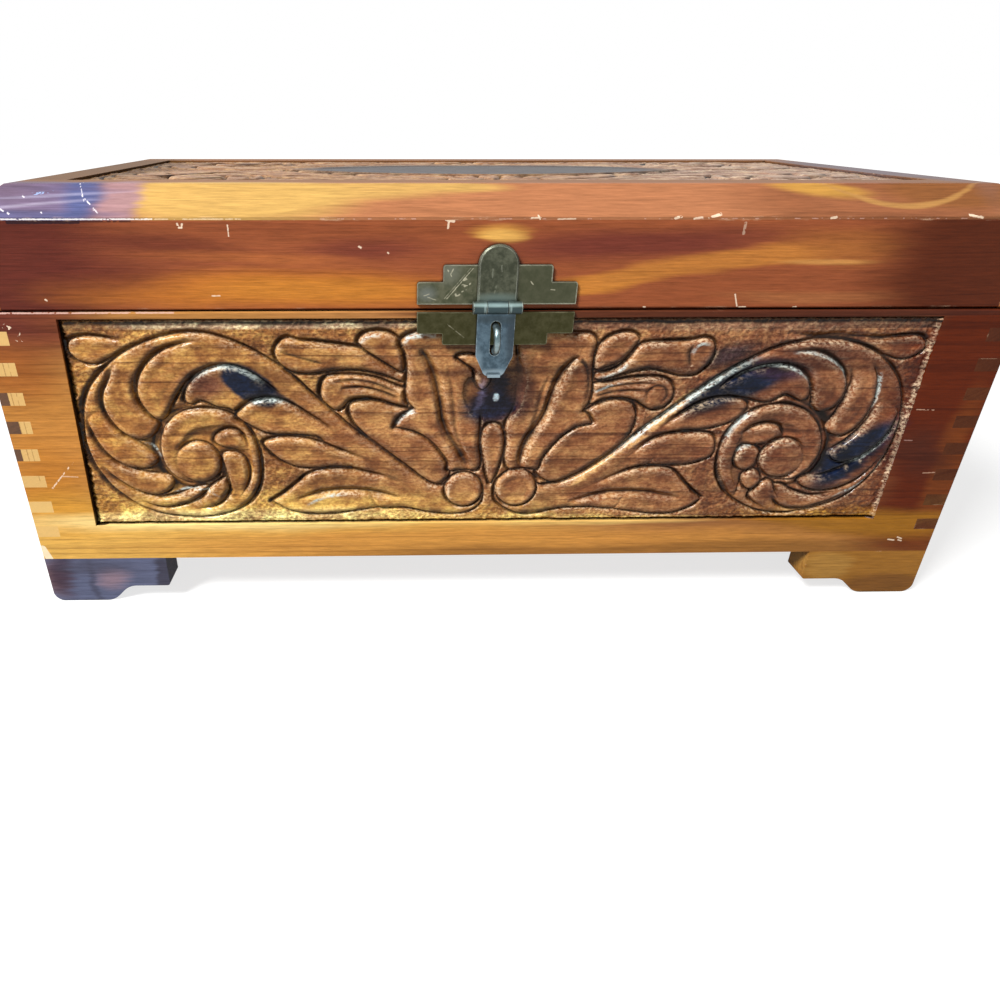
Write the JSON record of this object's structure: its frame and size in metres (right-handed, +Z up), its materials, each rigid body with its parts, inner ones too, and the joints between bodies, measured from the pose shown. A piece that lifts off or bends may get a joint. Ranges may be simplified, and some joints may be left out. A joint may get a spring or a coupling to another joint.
{
  "type": "keepsake box",
  "caption": "Small rectangular cedar keepsake box with a bevelled hinged lid, carved scrollwork front, finger-jointed corners, bracket feet and a brass hasp.",
  "frame": {"origin": "on the surface the feet stand on, under the middle of the box's overall outline, hasp staple included", "axes": "+X to the right seen from the carved front, +Y from the carved front to the hinged back, +Z up"},
  "size_m": [0.3048, 0.1534, 0.137],
  "materials": {
    "cedar": "glossy orange-brown varnish over red cedar with yellow sapwood streaks",
    "dark_wood": "dark varnished wood",
    "antique_brass": "dark antique brass, worn bright at the edges",
    "worn_steel": "blue-grey worn plating",
    "hinge_brass": "dull brass",
    "hinge_steel": "dull steel"
  },
  "bodies": {
    "body": {"front_board": "cedar", "back_board": "cedar", "left_end_board": "cedar", "right_end_board": "cedar", "bottom_board": "cedar", "front_left_foot_face": "dark_wood", "front_left_foot_return": "dark_wood", "front_right_foot_face": "dark_wood", "front_right_foot_return": "dark_wood", "back_left_foot_face": "dark_wood", "back_left_foot_return": "dark_wood", "back_right_foot_face": "dark_wood", "back_right_foot_return": "dark_wood", "foot_glue_blocks": "dark_wood", "left_hinge_body_leaf": "hinge_brass", "left_hinge_body_nails": "hinge_steel", "left_hinge_pin": "hinge_steel", "right_hinge_body_leaf": "hinge_brass", "right_hinge_body_nails": "hinge_steel", "right_hinge_pin": "hinge_steel", "staple_plate": "antique_brass", "staple": "worn_steel"},
    "lid": {"lid_top": "cedar", "lid_front_rail": "cedar", "lid_back_rail": "cedar", "lid_left_rail": "cedar", "lid_right_rail": "cedar", "left_hinge_lid_leaf": "hinge_brass", "left_hinge_lid_nails": "hinge_steel", "right_hinge_lid_leaf": "hinge_brass", "right_hinge_lid_nails": "hinge_steel", "lid_hasp_plate": "antique_brass", "hasp_fixed_leaf": "worn_steel", "hasp_pin": "worn_steel"},
    "hasp_leaf": {"hasp_swing_leaf": "worn_steel"}
  },
  "joints": [
    {"name": "lid_hinge", "type": "hinge", "parent": "body", "child": "lid", "pos_m": [0, 0.07405, 0.1034], "axis": [-1, 0, 0], "range_deg": [0, 100]},
    {"name": "hasp_hinge", "type": "hinge", "parent": "lid", "child": "hasp_leaf", "pos_m": [-0.0029, -0.07225, 0.1048], "axis": [-1, 0, 0], "range_deg": [0, 180]}
  ]
}
